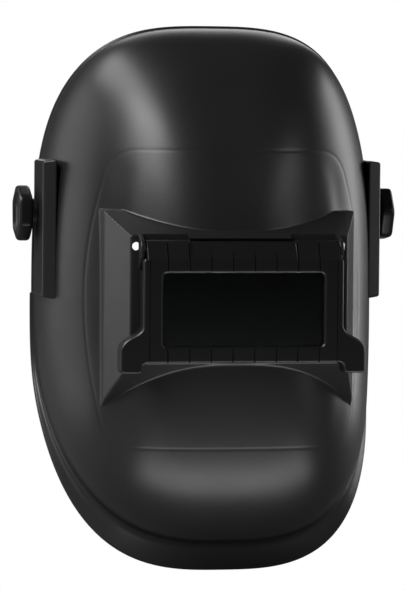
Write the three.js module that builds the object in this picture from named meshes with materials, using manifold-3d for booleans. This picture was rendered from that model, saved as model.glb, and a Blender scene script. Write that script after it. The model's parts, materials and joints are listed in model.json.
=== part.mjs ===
// Welding helmet with a flip-up filter window and a ratchet headgear.
// Millimetres, +Z up, the face looks towards -Y, the origin is midway between the two
// tilt pivots.  A group holds one closed mesh for each separate piece.
import * as THREE from 'three';
import { mergeVertices } from 'three/addons/utils/BufferGeometryUtils.js';
import Module from 'manifold-3d';

const wasm = await Module();
wasm.setup();

// ---------------------------------------------------------------- driving dimensions
const SHELL = {
  midZ: -50, // height of the axis that the outline turns round
  halfWidth: 106.3,
  above: 165.7,
  below: 149.2,
  frontY: -112,
  sideY: 10.5,
  wall: 2.6,
  chinFromZ: -105,
  chinSlope: 0.86,
  crownFromZ: 67.5,
  crownSlope: 0.56,
  rimBlend: 12,
  flangeHalfWidth: 108.7,
  flangeBelow: 167,
  lip: 1.5,
  phiSteps: 72,
  rings: 14,
};

const PLATFORM = {
  frontY: -112.2,
  halfWidth: 66.5,
  topZ: -9.6,
  bottomZ: -86.5,
  rootTop: [77.7, -80, 4.5],
  rootBottom: [76, -88, -111.5],
  midZ: -40,
  backY: -30,
};

const WINDOW = { width: 98, height: 44, midZ: -53.5 };
const PLATE = { width: 108, height: 51 }; // the standard size of a small filter plate
const HINGE = { y: -118.2, z: -17.3, pin: 1.5, knuckle: 5.3 };
const FLIP = { frontY: -127, backY: -112.8, halfWidth: 61, topZ: -22.8, bottomZ: -85.2 };
const POST_HEIGHTS = [WINDOW.midZ + 22, WINDOW.midZ - 22];
const POST_X = 57.8;
const PEEP = { x: 63.2, z: -16, radius: 2.5 };
const VISOR = { halfWidth: 31, frontY: -116.4, backY: -111, z: -11.4, lipZ: -10.6, topZ: -7.5 };
const BOSS = { faceX: 107, innerX: 101.2, rootX: 90, frontY: -29, backY: 8, topZ: 33, bottomZ: -51 };
const KNOB = { innerX: 110.6, outerX: 119.6, cornerRadius: 17.3, bore: 4.3 };
const BOLT = { radius: 4, headX: 93.2 };
const PIVOT = { discX: 95.9, stopX: 98.05, washerX: 99.2 }; // the layers inside the boss
const BAND = { midY: 25, halfWidth: 79, halfDepth: 91, height: 24, tilt: 0.33, sideZ: 5 };
const STRAP = { midY: 15, width: 22, side: 81.6, baseZ: 12, thickness: 1.8, endZ: -3 };
const RIVETS = [
  { label: 'strap_rivet', angle: 83.7, lift: -3, reach: 4.8 },
  { label: 'arm_rivet', angle: 107, lift: 3, reach: 3.7 },
];
const RATCHET = { z: BAND.sideZ - BAND.tilt * BAND.halfDepth, y: 110, pitchRadius: 6, teeth: 12 };

const COLOURS = {
  shell: [0x242427, 0.42, 0],
  black: [0x1b1b1d, 0.45, 0],
  glass: [0x04080a, 0.06, 0],
  clear: [0xcfd8d6, 0.05, 0],
  rubber: [0x141414, 0.85, 0],
  steel: [0xb8babd, 0.3, 1],
  foam: [0x3b3d42, 0.95, 0],
  nylon: [0x2c2d30, 0.55, 0],
};

// ------------------------------------------------------------------- modelling helpers
const group = new THREE.Group();

function solid(geometry) {
  const bare = geometry.clone();
  bare.deleteAttribute('normal');
  bare.deleteAttribute('uv');
  const merged = mergeVertices(bare, 1e-4);
  const vertProperties = new Float32Array(merged.attributes.position.array);
  const triVerts = new Uint32Array(merged.index.array);
  return new wasm.Manifold(new wasm.Mesh({ numProp: 3, vertProperties, triVerts }));
}

function addPiece(name, shape, look) {
  const mesh = shape.getMesh();
  const geometry = new THREE.BufferGeometry();
  const positions = new THREE.BufferAttribute(new Float32Array(mesh.vertProperties), 3);
  geometry.setAttribute('position', positions);
  geometry.setIndex(Array.from(mesh.triVerts));
  geometry.computeVertexNormals();
  const [color, roughness, metalness] = COLOURS[look];
  const material = new THREE.MeshStandardMaterial({ color, roughness, metalness });
  const piece = new THREE.Mesh(geometry, material);
  piece.name = name;
  group.add(piece);
}

function block([x0, x1], [y0, y1], [z0, z1]) {
  const box = new THREE.BoxGeometry(x1 - x0, y1 - y0, z1 - z0);
  box.translate((x0 + x1) / 2, (y0 + y1) / 2, (z0 + z1) / 2);
  return solid(box);
}

// A round bar between two stations on one axis; `at` holds the two other coordinates.
function bar(axis, [from, to], at, radius, sides = 24, endRadius = radius) {
  const geometry = new THREE.CylinderGeometry(endRadius, radius, to - from, sides);
  geometry.translate(0, (from + to) / 2, 0);
  if (axis === 'x') geometry.rotateZ(-Math.PI / 2).translate(0, at[0], at[1]);
  if (axis === 'y') geometry.translate(at[0], 0, at[1]);
  if (axis === 'z') geometry.rotateX(Math.PI / 2).translate(at[0], at[1], 0);
  return solid(geometry);
}

function polygon(points) {
  return new THREE.Shape(points.map(([a, b]) => new THREE.Vector2(a, b)));
}

function roundRect(width, height, radius, midX = 0, midY = 0) {
  const shape = new THREE.Shape();
  const x = width / 2 - radius;
  const y = height / 2 - radius;
  shape.absarc(midX + x, midY + y, radius, 0, Math.PI / 2);
  shape.absarc(midX - x, midY + y, radius, Math.PI / 2, Math.PI);
  shape.absarc(midX - x, midY - y, radius, Math.PI, Math.PI * 1.5);
  shape.absarc(midX + x, midY - y, radius, Math.PI * 1.5, Math.PI * 2);
  return shape;
}

// Extrudes a shape drawn in X and Z from frontY back to backY.
function facing(shape, frontY, backY, curveSegments = 4) {
  const options = { depth: backY - frontY, bevelEnabled: false, curveSegments };
  const geometry = new THREE.ExtrudeGeometry(shape, options);
  geometry.rotateX(Math.PI / 2);
  geometry.translate(0, backY, 0);
  return solid(geometry);
}

// Extrudes a shape drawn in Y and Z along X.
function sideways(shape, [x0, x1], curveSegments = 6) {
  const options = { depth: x1 - x0, bevelEnabled: false, curveSegments };
  const geometry = new THREE.ExtrudeGeometry(shape, options);
  const [x, y, z] = [new THREE.Vector3(1), new THREE.Vector3(0, 1), new THREE.Vector3(0, 0, 1)];
  geometry.applyMatrix4(new THREE.Matrix4().makeBasis(y, z, x));
  geometry.translate(x0, 0, 0);
  return solid(geometry);
}

function fromTriangles(points, faces) {
  const geometry = new THREE.BufferGeometry();
  geometry.setAttribute('position', new THREE.Float32BufferAttribute(points.flat(), 3));
  geometry.setIndex(faces);
  const shape = solid(geometry);
  if (shape.volume() > 0) return shape;
  const flipped = [];
  for (let i = 0; i < faces.length; i += 3) flipped.push(faces[i], faces[i + 2], faces[i + 1]);
  geometry.setIndex(flipped);
  return solid(geometry);
}

// Joins a row of matching outlines into one solid, either closed on itself or capped.
function loft(sections, closed = false) {
  const count = sections[0].length;
  const faces = [];
  const last = closed ? sections.length : sections.length - 1;
  for (let i = 0; i < last; i += 1) {
    const a = i * count;
    const b = ((i + 1) % sections.length) * count;
    for (let j = 0; j < count; j += 1) {
      const k = (j + 1) % count;
      faces.push(a + j, a + k, b + k, a + j, b + k, b + j);
    }
  }
  if (!closed) {
    const end = (sections.length - 1) * count;
    for (let j = 1; j < count - 1; j += 1) {
      faces.push(0, j + 1, j, end, end + j, end + j + 1);
    }
  }
  return fromTriangles(sections.flat(), faces);
}

function hull(points) {
  return wasm.Manifold.hull(points);
}

function join(...shapes) {
  return wasm.Manifold.union(shapes);
}

const mirrored = (shape) => shape.mirror([1, 0, 0]);
const sided = (shape, side) => (side < 0 ? mirrored(shape) : shape);

// ------------------------------------------------------------------ the shell's formula
const radians = (degrees) => (degrees * Math.PI) / 180;
const mix = (a, b, t) => a + (b - a) * t;
const softRamp = (x) => SHELL.rimBlend * Math.log1p(Math.exp(x / SHELL.rimBlend));

function ovalRadius(phi, halfWidth, above, below, powerAbove, powerBelow) {
  const c = Math.abs(Math.cos(phi));
  const s = Math.abs(Math.sin(phi));
  const up = Math.sin(phi) >= 0;
  const power = up ? powerAbove : powerBelow;
  const reach = up ? above : below;
  return ((c / halfWidth) ** power + (s / reach) ** power) ** (-1 / power);
}

const bodyRadius = (phi) =>
  ovalRadius(phi, SHELL.halfWidth, SHELL.above, SHELL.below, 3.14, 2.8);

function flangeRadius(phi) {
  if (Math.sin(phi) > 0) return bodyRadius(phi) + SHELL.lip;
  const oval = ovalRadius(phi, SHELL.flangeHalfWidth, SHELL.above, SHELL.flangeBelow, 3, 3);
  return Math.max(oval, bodyRadius(phi) + SHELL.lip);
}

function rimY(z) {
  const chin = SHELL.chinSlope * softRamp(SHELL.chinFromZ - z);
  const crown = SHELL.crownSlope * softRamp(z - SHELL.crownFromZ);
  return SHELL.sideY - chin - crown;
}

// How square the shell's fore-and-aft section is at an angle round the outline.
function fullness(phi) {
  const s = Math.sin(phi);
  return s > 0 ? mix(1.95, 1.85, s) : mix(1.95, 2.35, s * s);
}

// A point on the outside, q running from 0 at the rim to 1 at the middle of the front.
function shellPoint(phi, q) {
  const power = 2 / fullness(phi);
  const depth = Math.sin((q * Math.PI) / 2) ** power;
  const radius = bodyRadius(phi) * Math.cos((q * Math.PI) / 2) ** power;
  const rim = rimY(SHELL.midZ + bodyRadius(phi) * Math.sin(phi));
  return new THREE.Vector3(
    radius * Math.cos(phi),
    mix(rim, SHELL.frontY, depth),
    SHELL.midZ + radius * Math.sin(phi),
  );
}

function shellNormal(phi, q) {
  const step = 1e-3;
  const at = Math.min(Math.max(q, step), 1 - 2 * step);
  const along = shellPoint(phi, at + step).sub(shellPoint(phi, at - step));
  const round = shellPoint(phi + step, at).sub(shellPoint(phi - step, at));
  return along.cross(round).normalize();
}

// The solid inside an offset of the shell's surface, run straight back past the rim.
function shellCore(inset, runBack) {
  const points = [];
  const faces = [];
  const { phiSteps, rings } = SHELL;
  for (let r = 0; r < rings; r += 1) {
    for (let i = 0; i < phiSteps; i += 1) {
      const phi = (i / phiSteps) * Math.PI * 2;
      const outward = shellNormal(phi, r / rings);
      if (outward.dot(new THREE.Vector3(Math.cos(phi), -1, Math.sin(phi))) < 0) outward.negate();
      if (r === 0) outward.setY(0).normalize();
      points.push(shellPoint(phi, r / rings).addScaledVector(outward, -inset).toArray());
    }
  }
  for (let r = 0; r < rings - 1; r += 1) {
    for (let i = 0; i < phiSteps; i += 1) {
      const j = (i + 1) % phiSteps;
      const a = r * phiSteps;
      const b = a + phiSteps;
      faces.push(a + i, b + i, b + j, a + i, b + j, a + j);
    }
  }
  const nose = points.push([0, SHELL.frontY + inset, SHELL.midZ]) - 1;
  const inner = (rings - 1) * phiSteps;
  const back = points.length;
  for (const [x, y, z] of points.slice(0, phiSteps)) points.push([x, y + runBack, z]);
  const tail = points.push([0, SHELL.sideY + runBack, SHELL.midZ]) - 1;
  for (let i = 0; i < phiSteps; i += 1) {
    const j = (i + 1) % phiSteps;
    faces.push(inner + i, nose, inner + j);
    faces.push(i, j, back + j, i, back + j, back + i);
    faces.push(back + i, back + j, tail);
  }
  return fromTriangles(points, faces);
}

function flangeRing() {
  const sections = [];
  for (let i = 0; i < SHELL.phiSteps; i += 1) {
    const phi = (i / SHELL.phiSteps) * Math.PI * 2;
    const inner = bodyRadius(phi) - 1.3;
    const outer = flangeRadius(phi);
    const edge = rimY(SHELL.midZ + bodyRadius(phi) * Math.sin(phi));
    const at = (radius, y) => [radius * Math.cos(phi), y, SHELL.midZ + radius * Math.sin(phi)];
    sections.push([at(inner, edge - 1), at(outer, edge + 0.5), at(outer, edge + 3), at(inner, edge + 1.6)]);
  }
  return loft(sections, true);
}

// ------------------------------------------------------------------------- the helmet
function platformBlock(grow) {
  const { frontY, halfWidth, topZ, bottomZ, rootTop, rootBottom, midZ, backY } = PLATFORM;
  const points = [];
  for (const side of [-1, 1]) {
    const corners = [[topZ, rootTop], [bottomZ, rootBottom]];
    for (const [z, [rootX, rootY, rootZ]] of corners) {
      const lift = Math.sign(z - midZ) * grow;
      const front = new THREE.Vector3(halfWidth + grow, frontY - grow, z + lift);
      const root = new THREE.Vector3(rootX + grow, rootY - grow, rootZ + lift);
      for (const p of [front, root]) points.push([side * p.x, p.y, p.z]);
      points.push([side * root.x, backY, root.z]);
    }
  }
  return hull(points);
}

function bossBlock() {
  const { faceX, innerX, rootX, frontY, backY, topZ, bottomZ } = BOSS;
  const edge = 1.5;
  const ring = (x, out, rise) => [
    [x, frontY - out, bottomZ - rise],
    [x, backY, bottomZ - rise],
    [x, backY, topZ + rise],
    [x, frontY - out, topZ + rise],
  ];
  const raised = hull([...ring(faceX, 0, 0), ...ring(faceX - edge, edge, edge), ...ring(rootX, 5, 3)]);
  const pad = block([innerX, faceX - 3], [-19, BOSS.backY], [-19, 19]);
  return { raised, pad };
}

function makeShell() {
  const outside = shellCore(0, 1.6);
  const inside = shellCore(SHELL.wall, 60);
  const boss = bossBlock();
  const bothBosses = join(boss.raised, mirrored(boss.raised));
  const bothPads = join(boss.pad, mirrored(boss.pad));
  const skin = join(outside, platformBlock(0), bothBosses);
  const platformRoom = block([-90, 90], [-120, PLATFORM.backY], [-130, 30]);
  const hollow = join(inside, platformBlock(-SHELL.wall).intersect(platformRoom));
  let shell = skin.subtract(hollow);
  shell = join(shell, bothPads, flangeRing());
  const { width, height, midZ } = WINDOW;
  const window = facing(roundRect(width, height, 3, 0, midZ), -120, -100);
  const cuts = [window];
  for (const side of [-1, 1]) {
    const from = side < 0 ? -130 : 90;
    cuts.push(bar('x', [from, from + 40], [0, 0], BOLT.radius + 0.5, 32));
    cuts.push(sided(bar('x', [80, BOSS.innerX], [0, 0], 15.5, 32), side));
    cuts.push(bar('y', [-118, -60], [side * PEEP.x, PEEP.z], PEEP.radius, 16));
  }
  shell = shell.subtract(join(...cuts));
  const ears = [];
  for (const side of [-1, 1]) {
    const profile = polygon([[-110, -10], [-121, -12], [-122.4, -16], [-121, -22], [-110, -30]]);
    const ear = sideways(profile, [59.3, 61.9]);
    const bore = bar('x', [50, 70], [HINGE.y, HINGE.z], HINGE.pin + 0.12, 20);
    ears.push(sided(ear.subtract(bore), side));
  }
  const posts = [];
  for (const side of [-1, 1]) {
    for (const z of POST_HEIGHTS) posts.push(bar('y', [-110, -99.5], [side * POST_X, z], 2.4, 12, 2));
  }
  return join(shell, visorLedge(), ...ears, ...posts);
}

// The small ledge over the spring, between the two hinge knuckles.
function visorLedge() {
  const { halfWidth, frontY, backY, z, lipZ, topZ } = VISOR;
  const profile = polygon([[frontY, z], [frontY, lipZ], [backY, topZ], [backY, z]]);
  return sideways(profile, [-halfWidth, halfWidth]);
}

function flipProfile() {
  const { frontY, backY, topZ, bottomZ } = FLIP;
  return polygon([
    [backY, bottomZ + 1],
    [backY, HINGE.z - 0.5],
    [HINGE.y, HINGE.z + 4.6],
    [HINGE.y - 2.5, HINGE.z + 4.2],
    [frontY + 0.8, topZ + 0.6],
    [frontY, topZ - 0.8],
    [frontY, bottomZ + 4],
    [frontY + 3, bottomZ],
  ]);
}

function makeFlipFrame() {
  const { halfWidth, frontY, backY, bottomZ } = FLIP;
  const body = sideways(flipProfile(), [-58.8, 58.8]);
  const sides = facing(roundRect(halfWidth * 2, 55.4, 3, 0, -57.4), frontY + 2.2, backY, 4);
  const knuckles = [];
  for (const side of [-1, 1]) {
    const from = side < 0 ? -58.6 : 32;
    knuckles.push(bar('x', [from, from + 26.6], [HINGE.y, HINGE.z], HINGE.knuckle, 20));
  }
  const handle = new THREE.Shape();
  handle.moveTo(50, -59);
  handle.lineTo(60.5, -59);
  handle.bezierCurveTo(61.5, -67, 74.6, -67, 74.6, -76);
  handle.lineTo(74.6, -88.5);
  handle.absarc(71.6, -88.5, 3, 0, -Math.PI / 2, true);
  handle.lineTo(62.4, -91.5);
  handle.bezierCurveTo(60, -91.5, 60.5, bottomZ, 57, bottomZ);
  handle.lineTo(50, bottomZ);
  const tab = facing(handle, frontY + 3, backY, 6);
  const pocket = facing(roundRect(PLATE.width + 1, PLATE.height + 1, 2, 0, WINDOW.midZ), -124.5, -100);
  const opening = facing(roundRect(WINDOW.width, WINDOW.height, 2.5, 0, WINDOW.midZ), -130, -120);
  const bevel = hull([
    ...windowCorners(1.8, -127.2),
    ...windowCorners(0, -125.4),
  ]);
  const springRoom = join(
    bar('x', [-30, 30], [HINGE.y, HINGE.z], 4.2, 20),
    block([-30, 30], [HINGE.y, -105], [HINGE.z - 4.2, HINGE.z + 7]),
  );
  const axle = bar('x', [-70, 70], [HINGE.y, HINGE.z], HINGE.pin + 0.15, 20);
  const scores = [];
  for (let i = 0; i < 8; i += 1) {
    const x = -46.2 + i * 13.2;
    const tall = [[HINGE.z + 6, FLIP.topZ - 6.5], [FLIP.bottomZ - 1, FLIP.bottomZ + 7.5]];
    for (const [z0, z1] of tall) scores.push(scoreLine(x, z0, z1));
  }
  const whole = join(body, sides, tab, mirrored(tab), ...knuckles);
  return whole.subtract(join(pocket, opening, bevel, springRoom, axle, ...scores));
}

function windowCorners(out, y) {
  const points = [];
  for (const sx of [-1, 1]) {
    for (const sz of [-1, 1]) {
      points.push([sx * (WINDOW.width / 2 + out), y, WINDOW.midZ + sz * (WINDOW.height / 2 + out)]);
    }
  }
  return points;
}

// A shallow V groove that follows the frame's front and the facet above or below it.
function scoreLine(x, z0, z1) {
  const { frontY, topZ, bottomZ } = FLIP;
  const sections = [];
  const path = z0 > topZ - 20
    ? [[HINGE.y - 3.2, HINGE.z + 4.2], [frontY + 0.5, topZ + 0.8], [frontY, topZ - 1], [frontY, z1]]
    : [[frontY, z1], [frontY, bottomZ + 4], [frontY + 3, bottomZ]];
  for (const [y, z] of path) {
    const [out, up] = [y - 0.4, z + 0.1];
    sections.push([[x - 0.5, out, up], [x + 0.5, out, up], [x, y + 0.45, z - 0.2]]);
  }
  return loft(sections);
}

function platePiece(y0, y1, trim = 0, radius = 1) {
  const shape = roundRect(PLATE.width - trim, PLATE.height - trim, radius, 0, WINDOW.midZ);
  return facing(shape, y0, y1, 3);
}

function frameRing(outer, inner, y0, y1) {
  const [outerWidth, outerHeight] = outer;
  const [innerWidth, innerHeight] = inner;
  const body = facing(roundRect(outerWidth, outerHeight, 2, 0, WINDOW.midZ), y0, y1, 4);
  const hole = facing(roundRect(innerWidth, innerHeight, 1.5, 0, WINDOW.midZ), y0 - 5, y1 + 5, 4);
  return body.subtract(hole);
}

// A bent wire: straight lengths between points, with a ball at each bend.
function wire(points, radius) {
  const parts = [];
  for (let i = 0; i < points.length - 1; i += 1) {
    const from = new THREE.Vector3(...points[i]);
    const to = new THREE.Vector3(...points[i + 1]);
    const length = from.distanceTo(to);
    const rod = new THREE.CylinderGeometry(radius, radius, length, 8);
    const turn = new THREE.Quaternion();
    turn.setFromUnitVectors(new THREE.Vector3(0, 1, 0), to.clone().sub(from).normalize());
    rod.applyQuaternion(turn);
    rod.translate(...from.add(to).multiplyScalar(0.5).toArray());
    parts.push(solid(rod));
    if (i === 0) continue;
    const ball = new THREE.SphereGeometry(radius, 8, 6);
    ball.translate(...points[i]);
    parts.push(solid(ball));
  }
  return join(...parts);
}

function coilSpring() {
  const turns = 6;
  const stepsPerTurn = 10;
  const sections = [];
  for (let i = 0; i <= turns * stepsPerTurn; i += 1) {
    const angle = (i / stepsPerTurn) * Math.PI * 2;
    const x = -9 + (18 * i) / (turns * stepsPerTurn);
    const ring = [];
    for (let j = 0; j < 5; j += 1) {
      const around = (j / 5) * Math.PI * 2;
      const radius = 2.9 + 0.45 * Math.cos(around);
      ring.push([
        x + 0.45 * Math.sin(around),
        HINGE.y + radius * Math.cos(angle),
        HINGE.z + radius * Math.sin(angle),
      ]);
    }
    sections.push(ring);
  }
  return loft(sections);
}

function addWindow() {
  addPiece('flip_frame', makeFlipFrame(), 'black');
  addPiece('front_cover_plate', platePiece(-124.2, -123.2), 'clear');
  addPiece('filter_gasket', frameRing([108, 51], [99, 45], -122.9, -121.7), 'rubber');
  addPiece('filter_plate', platePiece(-121.4, -118.4), 'glass');
  addPiece('filter_retainer', frameRing([108, 51], [98, 44], -118.1, -115.2), 'black');
  const pin = bar('x', [-61.6, 61.6], [HINGE.y, HINGE.z], HINGE.pin, 20);
  addPiece('flip_hinge_rod', pin, 'steel');
  addPiece('flip_spring', coilSpring(), 'steel');
  const holder = frameRing([122, 60], [98, 44], -109.2, -99);
  const seat = facing(roundRect(PLATE.width + 1, PLATE.height + 1, 2, 0, WINDOW.midZ), -107, -90);
  const holes = [];
  for (const x of [-POST_X, POST_X]) {
    for (const z of POST_HEIGHTS) holes.push(bar('y', [-112, -95], [x, z], 2.8, 12));
  }
  addPiece('inner_lens_holder', holder.subtract(join(seat, ...holes)), 'black');
  addPiece('clear_safety_plate', platePiece(-106.6, -103.6), 'clear');
  const [sx, top, low, y] = [50, WINDOW.midZ + 22, WINDOW.midZ - 22, -102.4];
  const clip = wire([[-sx, y, top], [-sx, y, low], [sx, y, low], [sx, y, top]], 0.9);
  addPiece('safety_plate_spring', clip, 'steel');
}

// -------------------------------------------------------------------- pivots and knobs
function hexKnob(turn) {
  const { innerX, outerX, cornerRadius, bore } = KNOB;
  const edge = 1.6;
  const corners = (x, radius) => {
    const ring = [];
    for (let i = 0; i < 6; i += 1) {
      for (const nudge of [-5, 5]) {
        const angle = radians(turn + i * 60 + nudge);
        ring.push([x, -radius * Math.cos(angle), radius * Math.sin(angle)]);
      }
    }
    return ring;
  };
  const body = hull([
    ...corners(innerX, cornerRadius - edge),
    ...corners(innerX + edge, cornerRadius),
    ...corners(outerX - edge, cornerRadius),
    ...corners(outerX, cornerRadius - edge),
  ]);
  const collar = bar('x', [innerX - 0.1, innerX + 1], [0, 0], 9, 24);
  return join(body, collar).subtract(bar('x', [100, outerX - 2.5], [0, 0], bore, 24));
}

function addPivot(side) {
  const name = side < 0 ? 'left' : 'right';
  const put = (label, shape, look) => addPiece(`${label}_${name}`, sided(shape, side), look);
  put('tension_knob', hexKnob(side < 0 ? 36 : 7), 'black');
  const washer = (x0, x1, radius) =>
    bar('x', [x0, x1], [0, 0], radius, 32).subtract(bar('x', [90, 120], [0, 0], BOLT.radius + 0.3, 24));
  put('outer_washer', washer(BOSS.faceX + 0.25, KNOB.innerX - 0.4, 9), 'nylon');
  put('friction_washer', washer(PIVOT.washerX, BOSS.innerX - 0.3, 14), 'nylon');
  const shank = bar('x', [BOLT.headX, KNOB.outerX - 4], [0, 0], BOLT.radius, 24);
  const head = bar('x', [BOLT.headX - 1.5, BOLT.headX + 1.2], [0, 0], 9, 24, 8);
  put('pivot_bolt', join(shank, head), 'nylon');
  put('pivot_arm', pivotArm(), 'nylon');
  put('tilt_stop_plate', tiltStopPlate(), 'nylon');
}

function pivotArm() {
  const { discX } = PIVOT;
  const disc = bar('x', [discX - 1, discX + 1], [0, 0], 15, 32);
  const path = [
    [discX, 8], [discX, 18], [92.5, 27], [86, 34], [80.6, 41], [78.6, 49], [76.6, 56], [74.6, 63],
  ];
  const sections = path.map(([x, y], i) => {
    const next = path[Math.min(i + 1, path.length - 1)];
    const before = path[Math.max(i - 1, 0)];
    const across = new THREE.Vector2(next[1] - before[1], before[0] - next[0]).normalize();
    const high = mix(11, 8, i / (path.length - 1));
    const drop = -BAND.tilt * Math.max(0, y - 30) + (i > 2 ? 4 : 0);
    const at = (out, z) => [x + across.x * out, y + across.y * out, z + drop];
    return [at(-1, -high), at(1, -high), at(1, high), at(-1, high)];
  });
  const hole = bar('x', [80, 120], [0, 0], BOLT.radius + 0.2, 24);
  const [rivet] = RIVETS.filter(({ label }) => label === 'arm_rivet');
  const rivetHole = bandPin(rivet.angle, rivet.lift, 2.5, -6, 8);
  return join(disc, loft(sections)).subtract(join(hole, rivetHole));
}

function tiltStopPlate() {
  const fan = hull([...fanPoints(-150, -60, 20), [0, -9, 9], [0, 9, 9], [0, 11, -4]]);
  const plate = fan.intersect(block([-1, 1], [-40, 40], [-40, 40]));
  const holes = [bar('x', [-5, 5], [0, 0], BOLT.radius + 0.2, 24)];
  for (const angle of [-140, -120, -100, -80]) {
    const at = [15.5 * Math.cos(radians(angle)), 15.5 * Math.sin(radians(angle))];
    holes.push(bar('x', [-5, 5], at, 1.6, 12));
  }
  return plate.subtract(join(...holes)).translate(PIVOT.stopX, 0, 0);
}

function fanPoints(from, to, radius) {
  const points = [];
  for (let angle = from; angle <= to; angle += 10) {
    const at = [radius * Math.cos(radians(angle)), radius * Math.sin(radians(angle))];
    for (const x of [-0.85, 0.85]) points.push([x, ...at]);
  }
  return points;
}

// --------------------------------------------------------------------------- headgear
function bandPoint(degrees, out) {
  const angle = radians(degrees);
  const x = (BAND.halfWidth + out) * Math.sin(angle);
  const y = BAND.midY - (BAND.halfDepth + out) * Math.cos(angle);
  const z = BAND.sideZ + BAND.tilt * BAND.halfDepth * Math.cos(angle);
  return [x, y, z];
}

function bandStrip(from, to, step, inner, outer, halfHeight) {
  const sections = [];
  const count = Math.round((to - from) / step);
  for (let i = 0; i <= count; i += 1) {
    const angle = mix(from, to, i / count);
    const half = halfHeight(i / count);
    const [x0, y0, z] = bandPoint(angle, inner);
    const [x1, y1] = bandPoint(angle, outer);
    sections.push([[x0, y0, z - half], [x1, y1, z - half], [x1, y1, z + half], [x0, y0, z + half]]);
  }
  return loft(sections);
}

// A round pin through the band at one angle, from one offset to another.
function bandPin(degrees, lift, radius, inner, outer) {
  const from = new THREE.Vector3(...bandPoint(degrees, inner));
  const to = new THREE.Vector3(...bandPoint(degrees, outer));
  const pin = new THREE.CylinderGeometry(radius, radius, from.distanceTo(to), 16);
  const turn = new THREE.Quaternion();
  turn.setFromUnitVectors(new THREE.Vector3(0, 1, 0), to.clone().sub(from).normalize());
  pin.applyQuaternion(turn);
  const middle = from.add(to).multiplyScalar(0.5);
  pin.translate(middle.x, middle.y, middle.z + lift);
  return solid(pin);
}

function crownStrap(crown) {
  const path = [[STRAP.side, STRAP.endZ], [STRAP.side, 4]];
  for (let s = 90; s >= -9; s -= 9) {
    path.push([STRAP.side * Math.sin(radians(s)), STRAP.baseZ + crown * Math.cos(radians(s))]);
  }
  const sections = path.map(([x, z], i) => {
    const next = path[Math.min(i + 1, path.length - 1)];
    const before = path[Math.max(i - 1, 0)];
    const across = new THREE.Vector2(next[1] - before[1], before[0] - next[0]).normalize();
    const out = STRAP.thickness / 2;
    const at = (side, y) => [x + across.x * side * out, y, z + across.y * side * out];
    const [y0, y1] = [STRAP.midY - STRAP.width / 2, STRAP.midY + STRAP.width / 2];
    return [at(-1, y0), at(1, y0), at(1, y1), at(-1, y1)];
  });
  return loft(sections);
}

function addBands() {
  const rivetHoles = [];
  for (const { angle, lift } of RIVETS) rivetHoles.push(bandPin(angle, lift, 2.5, -6, 8));
  const holes = join(...rivetHoles, ...rivetHoles.map(mirrored));
  const height = (t) => 12 - 2.5 * Math.abs(2 * t - 1) ** 2;
  addPiece('headband', bandStrip(-126, 126, 6, -1, 1, height).subtract(holes), 'nylon');
  addPiece('sweatband', bandStrip(-52, 52, 6.5, -8, -1.3, () => 15), 'foam');
  const crowns = { left: 78.4, right: 80.6 };
  const studHole = bar('z', [60, 120], [0, STRAP.midY], 3.3, 16);
  for (const side of [-1, 1]) {
    const name = side < 0 ? 'left' : 'right';
    const strap = sided(crownStrap(crowns[name]), side).subtract(join(holes, studHole));
    addPiece(`crown_strap_${name}`, strap, 'nylon');
    for (const { label, angle, lift, reach } of RIVETS) {
      const shank = bandPin(angle, lift, 2.2, -2.6, reach + 1);
      const heads = [bandPin(angle, lift, 4, -2.6, -1.4), bandPin(angle, lift, 4, reach, reach + 1.2)];
      addPiece(`${label}_${name}`, sided(join(shank, ...heads), side), 'black');
    }
  }
  const top = STRAP.baseZ + crowns.right + STRAP.thickness / 2 + 0.6;
  const under = STRAP.baseZ + crowns.left - STRAP.thickness / 2 - 0.6;
  const stud = [
    bar('z', [under - 1.2, top + 1], [0, STRAP.midY], 2.9, 16),
    bar('z', [top, top + 1.8], [0, STRAP.midY], 6, 20, 4.6),
    bar('z', [under - 1.4, under], [0, STRAP.midY], 5.5, 20),
  ];
  addPiece('crown_stud', join(...stud), 'black');
}

function rearBand(upper) {
  const path = [];
  for (const angle of [129, 136, 143, 150]) {
    const [x, y, z] = bandPoint(angle, 0);
    path.push([x, y, z - 9.5, z + 9.5]);
  }
  const rack = upper ? [7.2, 12] : [-12, -7.2];
  const [low, high] = [RATCHET.z + rack[0], RATCHET.z + rack[1]];
  path.push([35, RATCHET.y - 3.4, mix(low, RATCHET.z - 9, 0.6), mix(high, RATCHET.z + 9, 0.6)]);
  path.push([31, RATCHET.y - 0.8, mix(low, RATCHET.z - 9, 0.2), mix(high, RATCHET.z + 9, 0.2)]);
  path.push([27, RATCHET.y, low, high], [-14, RATCHET.y, low, high]);
  const sections = path.map(([x, y, z0, z1], i) => {
    const next = path[Math.min(i + 1, path.length - 1)];
    const before = path[Math.max(i - 1, 0)];
    const across = new THREE.Vector2(next[1] - before[1], before[0] - next[0]).normalize();
    const at = (side, z) => [x + across.x * side, y + across.y * side, z];
    return [at(-1, z0), at(1, z0), at(1, z1), at(-1, z1)];
  });
  const teeth = [];
  const pitch = (2 * Math.PI * RATCHET.pitchRadius) / RATCHET.teeth;
  const sign = upper ? 1 : -1;
  for (let i = -4; i < 4; i += 1) {
    const x = (i + 0.5) * pitch;
    const [root, tip] = [RATCHET.z + sign * 7.4, RATCHET.z + sign * 5.5];
    const tooth = polygon([[x - 0.95, root], [x - 0.4, tip], [x + 0.4, tip], [x + 0.95, root]]);
    teeth.push(facing(tooth, RATCHET.y - 1, RATCHET.y + 1));
  }
  return join(loft(sections), ...teeth);
}

function pinionShape() {
  const points = [];
  const tooth = (2 * Math.PI) / RATCHET.teeth;
  for (let i = 0; i < RATCHET.teeth; i += 1) {
    const corners = [[4.6, -0.2], [6.6, -0.06], [6.6, 0.06], [4.6, 0.2]];
    for (const [radius, share] of corners) {
      const angle = Math.PI / 2 + (i + share) * tooth;
      points.push([radius * Math.cos(angle), RATCHET.z + radius * Math.sin(angle)]);
    }
  }
  return polygon(points);
}

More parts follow.
